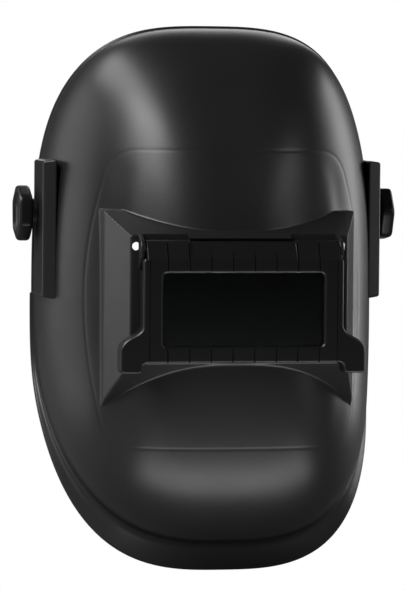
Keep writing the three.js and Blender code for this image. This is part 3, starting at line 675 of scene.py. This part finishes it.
def make_hinge_ears(materials):
    """The two ears that hold the hinge rod, the ledge over the spring, and the holder's posts."""
    ear = [(-0.1118, -0.0085), (-0.1206, -0.0125), (-0.1224, -0.016), (-0.1212, -0.0215),
           (-0.1118, -0.03)]
    for name, side in SIDES.items():
        ends = sorted((side * EAR.inner_x, side * EAR.outer_x))
        plate = prism(f"hinge_ear_{name}", ear, *ends, "x", materials["shell_plastic"])
        bevel(plate, EAR.rounding, 3)
        middle = (side * EAR.mid_x, HINGE.y, HINGE.z)
        combine(plate, cylinder("rod_bore", (1, 0, 0), middle, HINGE.rod_bore, 0.01), "DIFFERENCE")
        belongs(plate, "shell", "shell_plastic", angle=35)
        for place, up in (("upper", POST.up), ("lower", -POST.up)):
            middle = (side * POST.x, POST.mid_y, WINDOW.mid_z + up)
            post = cylinder(f"holder_post_{place}_{name}", (0, 1, 0), middle, POST.radius, POST.length)
            post.data.materials.append(materials["shell_plastic"])
            bevel(post, 0.0004, 2)
            belongs(post, "shell", "shell_plastic", angle=35)
    ledge = [(-0.1164, -0.0114), (-0.1164, -0.0106), (-0.1116, -0.0078), (-0.1108, -0.0114)]
    visor = prism("hinge_ledge", ledge, -0.031, 0.031, "x", materials["shell_plastic"])
    bevel(visor, 0.0003, 2)
    belongs(visor, "shell", "shell_plastic", angle=35)


# ------------ the flip frame
def curve_points(a, b, c, d, steps=14):
    """Points of a cubic Bezier, without its first point."""
    points = []
    for k in range(1, steps + 1):
        t = k / steps
        w = ((1 - t) ** 3, 3 * t * (1 - t) ** 2, 3 * t * t * (1 - t), t**3)
        points.append(tuple(sum(w[i] * p[j] for i, p in enumerate((a, b, c, d))) for j in (0, 1)))
    return points


def frame_outline():
    """Outline of the frame's front: straight sides, an S curve out to each tab, a plain bottom."""
    half, tab, low, bottom = FLIP.half_width, FLIP.tab_x, FLIP.tab_z, FLIP.bottom_z
    right = [(half - 0.0025, FLIP.top_z)]
    right += curve_points(right[-1], (half, FLIP.top_z), (half, -0.024), (half, -0.026), 5)
    right += [(half, -0.0625)]
    right += curve_points(right[-1], (half, -0.0705), (tab, -0.0685), (tab, -0.0785))
    right += [(tab, low + 0.003)]
    right += curve_points(right[-1], (tab, low + 0.001), (tab - 0.001, low), (tab - 0.003, low), 6)
    right += [(half + 0.003, low)]
    right += curve_points(right[-1], (half + 0.001, low), (half + 0.0005, low + 0.001),
                          (half + 0.0005, low + 0.003), 5)
    right += curve_points(right[-1], (half + 0.0005, bottom - 0.001), (half - 0.001, bottom),
                          (half - 0.003, bottom), 5)
    left = [(-x, z) for x, z in reversed(right)]
    return right + left


def window_cutter():
    """Cuts the window with a rounded rim, wide at the front."""
    rim, front = WINDOW.rim, FLIP.front_y
    rows = [(front - 0.002, rim * 1.25), (front - 0.0001, rim * 1.25)]
    for k in range(7):
        turn = k / 6 * math.pi / 2
        rows.append((front + rim * (1 - math.cos(turn)), rim * (1 - math.sin(turn))))
    rows.append((WINDOW.back_y, 0))
    rings = []
    for y, grow in rows:
        outline = round_rect(WINDOW.width + 2 * grow, WINDOW.height + 2 * grow,
                             WINDOW.cutter_corner + grow, WINDOW.mid_z)
        rings.append([(x, y, z) for x, z in outline])
    return loft("window", rings)


def score_cutters():
    """Eight V grooves across the top facet and front, and eight below the window."""
    front, top, low = FLIP.front_y, FLIP.top_z, FLIP.bottom_z
    above = [(HINGE.y - 0.0004, HINGE.z + 0.0062), (HINGE.y - 0.004, HINGE.z + 0.003),
             (front + 0.0004, top - 0.0002), (front, top - 0.0016), (front, WINDOW.mid_z + 0.0215)]
    below = [(front, WINDOW.mid_z - 0.0215), (front, low + 0.0016), (front + 0.0016, low - 0.0008)]
    made = []
    half, out, deep = SCORE.half, SCORE.out, SCORE.deep
    for i in range(SCORE.count):
        x = (i - (SCORE.count - 1) / 2) * SCORE.pitch
        for path in (above, below):
            rings = [[(x - half, y - out, z), (x + half, y - out, z), (x, y + deep, z - deep / 2)]
                     for y, z in path]
            made.append(loft("score", rings))
    return made


def hinge_profile(high):
    """Section of the frame's top, from the front up to the hinge: a low facet or a round knuckle."""
    y, z, radius = HINGE.y, HINGE.z, HINGE.knuckle
    if high:
        over = [(y + radius * math.cos(a), z + radius * math.sin(a)) for a in np.radians(range(0, 151, 10))]
    else:
        over = [(-0.1132, z - 0.0004), (y + 0.0016, z + 0.0042), (y, z + 0.0046), (y - 0.0022, z + 0.0041)]
    return [(-0.1132, -0.03), *over, (FLIP.front_y, FLIP.top_z - 0.0006), (FLIP.front_y, -0.03)]


def make_flip_frame(materials):
    """The frame that carries the dark glass: its front, hinge knuckles, pocket, score lines and tabs."""
    black, y, z = materials["black_plastic"], HINGE.y, HINGE.z
    frame_piece = prism("flip_bezel", frame_outline(), FLIP.front_y, FLIP.back_y, "y", black)
    bevel(frame_piece, FLIP.rounding, 5, 50)
    middle = prism("middle", hinge_profile(False), -FLIP.middle_x, FLIP.middle_x, "x")
    bevel(middle, 0.0005, 2)
    combine(frame_piece, middle, "UNION")
    for side in SIDES.values():
        ends = sorted((side * HINGE.knuckle_from, side * HINGE.knuckle_to))
        knuckle = prism("knuckle", hinge_profile(True), *ends, "x")
        bevel(knuckle, 0.0004, 2, 40)
        combine(frame_piece, knuckle, "UNION")
    pocket = prism("pocket", round_rect(PLATE.width, PLATE.height, PLATE.corner, WINDOW.mid_z),
                   PLATE.pocket_y, -0.1, "y")
    half, round_room = HINGE.spring_half, HINGE.spring_room
    spring_room = cylinder("spring_room", (1, 0, 0), (0, y, z), round_room, 2 * half)
    combine(spring_room, box_cutter(-half, half, y, -0.105, z - HINGE.room_drop, z + round_room), "UNION")
    axle = cylinder("axle", (1, 0, 0), (0, y, z), HINGE.rod_bore, 0.14)
    ear_notches = []
    creases = []
    for side in SIDES.values():
        ends = sorted((side * EAR.notch_inner, side * EAR.notch_outer))
        ear_notches.append(box_cutter(*ends, *EAR.notch))
        x, front, size = side * FLIP.middle_x, FLIP.front_y, FLIP.crease
        line = [(x - size, front - 0.0003), (x + size, front - 0.0003), (x, front + size)]
        rings = [[(a, b, height) for a, b in line] for height in (-0.0235, FLIP.bottom_z + size)]
        creases.append(loft("crease", rings))
    for cutter in (pocket, window_cutter(), spring_room, axle, *ear_notches, *creases, *score_cutters()):
        combine(frame_piece, cutter, "DIFFERENCE")
    belongs(frame_piece, "flip_window", "black_plastic", "flip_frame", angle=28)


# ------------ tension knobs
def hexagon(angle, turn, power=16.0):
    """Radius of a hexagon with rounded corners and an apothem of 1."""
    total = 0
    for k in range(6):
        total = total + np.maximum(np.cos(angle - math.radians(turn + 30 + 60 * k)), 0) ** power
    return total ** (-1 / power)


def make_knob(name, side, materials):
    """A hexagonal hand nut: rounded edges, a dished outer end and a blind bore for the bolt."""
    angle = np.arange(144) / 144 * 2 * np.pi
    six = hexagon(angle, KNOB.turn[name]) * KNOB.apothem
    round_ = np.full_like(six, KNOB.apothem)
    start, end = KNOB.inner_x, KNOB.outer_x
    inner = ((0.0054, 0.0), (0, 0.0), (0, 0.6), (0, 0.88), (0.0005, 0.945), (0.0013, 0.985), (0.0024, 1.0))
    outer = ((0.0026, 1.0), (0.0014, 0.985), (0.0006, 0.955), (0.0001, 0.905), (0, 0.86), (0.0003, 0.81),
             (0.0012, 0.77), (0.0021, 0.72), (0.0026, 0.62), (0.0029, 0.4), (0.003, 0.15))
    profile = [(start + up, share) for up, share in inner] + [(end - down, share) for down, share in outer]
    rows = []
    for x, share in profile:
        squareness = min(1.0, max(0.0, (share - 0.55) / 0.3))
        radius = (round_ + (six - round_) * squareness) * share if share else np.full_like(six, KNOB.bore)
        rows.append(np.stack([side * x + 0 * angle, -radius * np.cos(angle), radius * np.sin(angle)], -1))
    knob = loft(f"hex_knob_{name}", rows, materials["black_plastic"])
    belongs(knob, f"knob_{name}", "black_plastic", f"tension_knob_{name}", angle=40)


# ------------ headgear and pads
def band_point(degrees, out):
    """A point on the middle of the head band, at an angle from the forehead, so far outside it."""
    angle = math.radians(degrees)
    return ((BAND.half_width + out) * math.sin(angle),
            BAND.mid_y - (BAND.half_depth + out) * math.cos(angle),
            BAND.side_z + BAND.tilt * BAND.half_depth * math.cos(angle))


def puff(piece, voxel, cap, pressure=4.0):
    """Swells a foam piece by a short cloth simulation, with no point moving further than cap."""
    steps = 20
    grid = piece.modifiers.new("voxels", "REMESH")
    grid.mode = "VOXEL"
    grid.voxel_size = voxel
    apply_modifiers(piece)
    rest = vertices(piece)
    moved = rest
    cloth = piece.modifiers.new("cloth", "CLOTH")
    cloth.settings.use_pressure = True
    cloth.settings.uniform_pressure_force = pressure
    cloth.settings.effector_weights.gravity = 0
    cloth.point_cache.frame_start = 1
    cloth.point_cache.frame_end = steps
    for step in range(1, steps + 1):
        bpy.context.scene.frame_set(step)
    graph = bpy.context.evaluated_depsgraph_get()
    moved = vertices(piece.evaluated_get(graph))
    piece.modifiers.clear()
    bpy.context.scene.frame_set(1)
    shift = moved - rest
    length = np.linalg.norm(shift, axis=1, keepdims=True)
    shift *= np.minimum(1, cap / np.maximum(length, 1e-9))
    move_vertices(piece, rest + shift)
    finer = piece.modifiers.new("finer", "SUBSURF")
    finer.levels = finer.render_levels = 1
    apply_modifiers(piece)
    piece.data.shade_smooth()


def stitches(name, places, along, normals, material, body, length=0.0024, thick=0.00035):
    """A row of short threads, each a stretched ball lying along the seam."""
    shape = bmesh.new()
    for place, run, normal in zip(places, along, normals):
        run, normal = Vector(run).normalized(), Vector(normal).normalized()
        side = run.cross(normal).normalized()
        turn = Matrix((run * length / 2, side * thick, normal * thick)).transposed().to_4x4()
        bmesh.ops.create_uvsphere(shape, u_segments=8, v_segments=6, radius=1.0,
                                  matrix=Matrix.Translation(place) @ turn)
    row = from_bmesh(name, shape, material)
    row.data.shade_smooth()
    belongs(row, body, "padding")


def make_sweatband(materials):
    """Foam in a knit sleeve along the forehead, with a sewn channel every few centimetres."""
    s = SWEATBAND
    rows = []
    section = round_rect(s.thick, s.height, s.corner, 0.0, 3)
    for angle in np.linspace(-s.reach, s.reach, 80):
        rows.append([np.add(band_point(angle, -s.inset + across), (0, 0, up)) for across, up in section])
    pad = loft("forehead_pad", rows, materials["padding"])
    puff(pad, 0.0022, 0.0009)
    places = vertices(pad)
    turn = np.degrees(np.arctan2(places[:, 0] / BAND.half_width,
                                 (BAND.mid_y - places[:, 1]) / BAND.half_depth))
    middle = np.array([band_point(a, -s.inset) for a in turn])
    half = s.channel / 2
    pinch = np.exp(-(((turn + half) % s.channel - half) / 0.9) ** 2)
    edge = np.exp(-((np.abs(places[:, 2] - middle[:, 2]) - s.seam_z) / 0.0011) ** 2)
    squeeze = np.maximum(0.36 * pinch, 0.3 * edge)[:, None] * np.array((1, 1, 0))
    move_vertices(pad, places + (middle - places) * squeeze)
    belongs(pad, "headgear", "padding", "sweatband")
    sewn = np.arange(-s.stitch_reach, s.stitch_reach + 0.5, s.stitch_step)
    for label, lift in (("upper", s.seam_z), ("lower", -s.seam_z)):
        spots = [np.add(band_point(a, -s.stitch_inset), (0, 0, lift)) for a in sewn]
        runs = np.gradient(np.array(spots), axis=0)
        inward = [(-x, BAND.mid_y - y, 0) for x, y, _ in spots]
        stitches(f"forehead_stitches_{label}", spots, runs, inward, materials["thread"], "headgear")


def make_nape_pad(materials):
    """A small foam cushion behind the head, sewn round its border."""
    n, y, z = NAPE, RATCHET.y, RATCHET.z
    pad = prism("nape_cushion", round_rect(n.width, n.height, n.corner, z), y - n.front, y - n.back, "y",
                materials["padding"])
    puff(pad, 0.0018, 0.0008)
    places = vertices(pad)
    border = np.minimum(n.border_x - np.abs(places[:, 0]), n.border_z - np.abs(places[:, 2] - z))
    seam = np.exp(-((border - n.seam_in) / n.seam_width) ** 2)
    places[:, 1] += (y - n.mid - places[:, 1]) * n.pinch * seam
    move_vertices(pad, places)
    belongs(pad, "headgear", "padding", "nape_pad")
    ring = round_rect(0.034, 0.024, 0.006, z, 5)
    ring = np.array([(a, y - n.stitch_front, b) for a, b in ring])
    spots = []
    for here, run in zip(ring, np.roll(ring, -1, axis=0) - ring):
        step = n.stitch_pitch / max(np.linalg.norm(run), n.stitch_pitch)
        spots += [here + run * t for t in np.arange(0, 1, step)]
    runs = np.roll(spots, -1, axis=0) - np.roll(spots, 1, axis=0)
    stitches("nape_stitches", spots, runs, [(0, -1, 0)] * len(spots), materials["thread"], "headgear")


def strap_rows(path, half_thick=0.001, rounding=0.0007):
    """Rings of a flat strap from (x, y, low z, high z) stations, with rounded edges."""
    rows = []
    path = np.array(path)
    for i, (x, y, low, high) in enumerate(path):
        following, before = path[min(i + 1, len(path) - 1)], path[max(i - 1, 0)]
        across = np.array((following[1] - before[1], before[0] - following[0]))
        across /= np.linalg.norm(across)
        section = round_rect(2 * half_thick, high - low, rounding, (high + low) / 2, 3)
        rows.append([(x + across[0] * out, y + across[1] * out, z) for out, z in section])
    return rows


def smooth_path(stations, count):
    """A Catmull-Rom curve through stations of any width, sampled evenly in its parameter."""
    points = np.array([stations[0], *stations, stations[-1]], float)
    made = []
    for t in np.linspace(0, len(stations) - 1, count):
        i = min(int(t), len(stations) - 2)
        u = t - i
        a, b, c, d = points[i:i + 4]
        made.append(0.5 * (2 * b + (c - a) * u + (2 * a - 5 * b + 4 * c - d) * u * u
                           + (3 * b - a - 3 * c + d) * u**3))
    return made


def make_headband(materials):
    """The nylon band round the forehead and temples, tallest in front."""
    path = []
    for angle in np.linspace(-126, 126, 150):
        x, y, z = band_point(angle, 0)
        half = 0.012 - 0.0025 * (angle / 126) ** 2
        path.append((x, y, z - half, z + half))
    band = loft("head_band", strap_rows(path), materials["nylon"])
    belongs(band, "headgear", "nylon", "headband", angle=50)


def make_crown_straps(materials):
    """Two straps over the head that overlap at the stud, each with a row of size holes."""
    for name, side in SIDES.items():
        crown = CROWN.crowns[name]
        stations = [(CROWN.side, CROWN.end_z), (CROWN.side, 0.0005), (CROWN.side, 0.004)]
        for s in range(90, -10, -9):
            turn = math.radians(s)
            stations.append((CROWN.side * math.sin(turn), CROWN.base_z + crown * math.cos(turn)))
        path = smooth_path(stations, 90)
        rows = []
        for i, (x, z) in enumerate(path):
            run = np.array(path[min(i + 1, len(path) - 1)]) - np.array(path[max(i - 1, 0)])
            across = np.array((run[1], -run[0])) / np.linalg.norm(run)
            narrow = 1 - 0.3 * ease((i / (len(path) - 1) - 0.93) / 0.07)
            section = round_rect(0.0018, CROWN.width * narrow, 0.0007, CROWN.mid_y, 3)
            rows.append([(side * (x + across[0] * out), y, z + across[1] * out) for out, y in section])
        strap = loft(f"crown_band_{name}", rows, materials["nylon"])
        for s in CROWN.holes:
            turn = math.radians(s)
            place = (side * CROWN.side * math.sin(turn), CROWN.mid_y, CROWN.base_z + crown * math.cos(turn))
            out = (side * math.sin(turn) / CROWN.side, 0, math.cos(turn) / crown)
            combine(strap, cylinder("hole", out, place, CROWN.hole_radius, 0.008), "DIFFERENCE")
        belongs(strap, "headgear", "nylon", f"crown_strap_{name}", angle=50)


def make_pivot_arms(materials):
    """Each arm carries the shell: a disc behind the boss, and a bent strap back to the band."""
    disc_x = ARM.disc_x
    ends = [(disc_x, 0.008), (disc_x, 0.018), (0.0925, 0.027), (0.086, 0.034), (0.0806, 0.041),
            (0.0786, 0.049), (0.0766, 0.056), (0.0746, 0.063)]
    for name, side in SIDES.items():
        stations = []
        for i, (x, y) in enumerate(ends):
            half = 0.011 - 0.003 * i / (len(ends) - 1)
            drop = -BAND.tilt * max(0, y - 0.03) + (0.004 if i > 2 else 0)
            stations.append((x, y, drop - half, drop + half))
        path = [(side * x, y, low, high) for x, y, low, high in smooth_path(stations, 60)]
        arm = loft(f"shell_arm_{name}", strap_rows(path), materials["nylon"])
        disc = cylinder("disc", (1, 0, 0), (side * disc_x, 0, 0), ARM.disc_radius, ARM.thick)
        bevel(disc, 0.0004, 2)
        combine(arm, disc, "UNION")
        combine(arm, cylinder("bore", (1, 0, 0), (side * disc_x, 0, 0), ARM.bore, 0.01), "DIFFERENCE")
        belongs(arm, "headgear", "nylon", f"pivot_arm_{name}", angle=40)


def make_size_knob(materials):
    """The round adjuster behind the head, with ten finger scallops and a shallow recess in its end."""
    scallops = 10
    angle = np.arange(240) / 240 * 2 * np.pi
    period = 2 * np.pi / scallops
    away = (angle + period / 2) % period - period / 2
    scallop = np.exp(-((away / 0.15) ** 2))
    base, end = RATCHET.y + 0.0088, RATCHET.y + 0.021
    inner = ((0.0087, 0.0, 0), (0, 0.0, 0), (0, 0.015, 0.3), (0.0003, 0.0178, 0.7), (0.0012, 0.0189, 1),
             (0.0024, 0.0194, 1))
    outer = ((0.0024, 0.0187, 1), (0.0012, 0.018, 0.9), (0.0003, 0.0166, 0.6), (0, 0.015, 0.3),
             (0.0001, 0.012, 0), (0.0006, 0.011, 0), (0.0007, 0.006, 0), (0.0007, 0.001, 0))
    profile = [(base + up, *rest) for up, *rest in inner] + [(end - down, *rest) for down, *rest in outer]
    rows = []
    for y, radius, cut in profile:
        size = radius - 0.0019 * cut * scallop if radius else np.full_like(angle, 0.0027)
        rows.append(np.stack([size * np.cos(angle), y + 0 * angle, RATCHET.z + size * np.sin(angle)], -1))
    knob = loft("size_adjuster", rows, materials["black_plastic"])
    belongs(knob, "size_knob", "black_plastic", "ratchet_knob", angle=40)


def make_rear_straps(materials):
    """Each rear strap runs from inside the head band's end to its toothed end in the ratchet."""
    y, z = RATCHET.y, RATCHET.z
    pitch = 2 * math.pi * RATCHET.pitch_radius / RATCHET.teeth
    for name, side in SIDES.items():
        up = 1 if name == "left" else -1
        low, high = sorted((z + up * REAR.rack_near, z + up * REAR.rack_far))
        path = []
        for x in np.linspace(REAR.start_x, REAR.end_x, 70):
            on_band = BAND.mid_y + BAND.half_depth * math.sqrt(1 - (x / BAND.half_width) ** 2)
            entry = ease((0.036 - x) / 0.008)
            back = on_band + (y - on_band) * entry
            middle = BAND.side_z - BAND.tilt * (back - BAND.mid_y)
            taper = ease((0.058 - x) / 0.029)
            bottom = (middle - REAR.half) * (1 - taper) + low * taper
            top = (middle + REAR.half) * (1 - taper) + high * taper
            path.append((side * x, back, bottom, top))
        strap = loft(f"rear_strap_{name}", strap_rows(path), materials["nylon"])
        for i in range(-4, 4):
            x = (i + 0.5) * pitch * side
            root, tip = z + up * 0.0074, z + up * 0.0055
            outline = [(x - 0.00095, root), (x - 0.0004, tip), (x + 0.0004, tip), (x + 0.00095, root)]
            combine(strap, prism("tooth", outline, y - 0.0009, y + 0.0009, "y"), "UNION")
        smooth_by_angle(strap, 35)
        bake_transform(strap)
        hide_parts(f"rear_band_{name}")


def dress_nodes(materials):
    """Materials for the CAD nodes that stay in sight, and rounded edges on the plastic ones."""
    for part in frame["record"]["subparts"]:
        cad = frame["nodes"][part["node"]]
        cad.data.materials.clear()
        cad.data.materials.append(materials[part["material_slot"]])
        if part["material_slot"] in ("black_plastic", "nylon") and not cad.hide_render:
            flat = cad.modifiers.new("flat", "DECIMATE")
            flat.decimate_type = "DISSOLVE"
            flat.angle_limit = math.radians(1.0)
            bevel(cad, 0.00035, 2, 40, apply=False)


# ------------ camera and light
def make_camera():
    """A long lens in front, a little to the left and above."""
    azimuth, elevation, roll = math.radians(-11.2), math.radians(1.9), math.radians(0.5)
    distance, sensor = 2.4, 36
    pixels_per_metre, picture_height = 1590, 590
    back = Vector((math.sin(azimuth) * math.cos(elevation), -math.cos(azimuth) * math.cos(elevation),
                   math.sin(elevation)))
    target = Vector((-0.0008, 0, -0.0515))
    data = bpy.data.cameras.new("camera")
    camera = linked("camera", data)
    camera.location = back * distance
    aim = (camera.location - target).to_track_quat("Z", "Y").to_matrix().to_4x4()
    camera.matrix_world = Matrix.Translation(camera.location) @ aim @ Matrix.Rotation(roll, 4, "Z")
    data.sensor_width = sensor
    data.lens = pixels_per_metre * distance * sensor / picture_height
    data.clip_end = 60
    bpy.context.scene.camera = camera


def area_light(name, place, target, size, power):
    data = bpy.data.lights.new(name, "AREA")
    data.shape = "RECTANGLE"
    data.size, data.size_y = size
    data.energy = power
    data.spread = math.pi
    light = linked(name, data)
    place = Vector(place)
    aim = (place - Vector(target)).to_track_quat("Z", "Y").to_matrix().to_4x4()
    light.matrix_world = Matrix.Translation(place) @ aim
    light.visible_camera = False


def camera_sees(tree, seen, other, output):
    """Gives the camera's own rays one shader, and all other rays another."""
    path = node(tree, "ShaderNodeLightPath")
    choose = node(tree, "ShaderNodeMixShader")
    tree.links.new(path.outputs["Is Camera Ray"], choose.inputs[0])
    tree.links.new(other.outputs[0], choose.inputs[1])
    tree.links.new(seen.outputs[0], choose.inputs[2])
    tree.links.new(choose.outputs[0], tree.nodes[output].inputs["Surface"])


def make_world():
    world = bpy.data.worlds.new("studio")
    bpy.context.scene.world = world
    world.use_nodes = True
    tree = world.node_tree
    background = tree.nodes["Background"]
    set_inputs(background, {"Color": (1, 1, 1, 1), "Strength": 0.03})
    seen = node(tree, "ShaderNodeBackground", Color=(1, 1, 1, 1), Strength=1.0)
    camera_sees(tree, seen, background, "World Output")


def make_floor():
    """A plain floor: white to the camera, dim in reflections so that it doesn't light the chin."""
    low = CAD_BOX[0][2] - 0.004
    corners = [(-20, -20, low), (20, -20, low), (20, 20, low), (-20, 20, low)]
    material, tree, shader = new_material("floor", (0.16, 0.16, 0.16), 0.8)
    white = node(tree, "ShaderNodeEmission", Color=(1, 1, 1, 1), Strength=1.0)
    camera_sees(tree, white, shader, "Material Output")
    floor = mesh_object("floor", corners, [(0, 1, 2, 3)], material)


def make_lights():
    centre = (0, -0.03, -0.05)
    area_light("left_softbox", (-1.75, 1.0, 0.0), centre, (1.4, 2.2), 12)
    area_light("overhead_left", (-1.3, -0.15, 1.5), (-1.3, -0.15, 0), (1.0, 2.9), 45)
    area_light("upper_left", (-1.45, -0.95, 1.15), centre, (1.0, 1.2), 22)
    area_light("right_strip", (1.75, 0.85, 0.15), centre, (0.75, 1.8), 15)
    area_light("right_fill", (1.5, -1.0, 0.0), centre, (0.4, 1.8), 3.2)
    area_light("front_spot", (1.25, -1.3, 0.9), centre, (0.5, 0.35), 2.2)
    area_light("low_front", (0.0, -0.185, -0.2145), (0.0, -0.185, 1.0), (0.34, 0.06), 0.24)
    area_light("back_fill", (0.4, 2.2, 1.0), centre, (1.2, 1.2), 9)


def main():
    bpy.context.scene.view_settings.view_transform = "Standard"
    make_camera()
    make_world()
    make_lights()
    make_floor()
    materials = make_materials()
    dress_nodes(materials)
    make_shell(materials)
    make_flip_frame(materials)
    for name, side in SIDES.items():
        make_knob(name, side, materials)
    make_headband(materials)
    make_crown_straps(materials)
    make_pivot_arms(materials)
    make_size_knob(materials)
    make_sweatband(materials)
    make_nape_pad(materials)
    make_rear_straps(materials)


main()
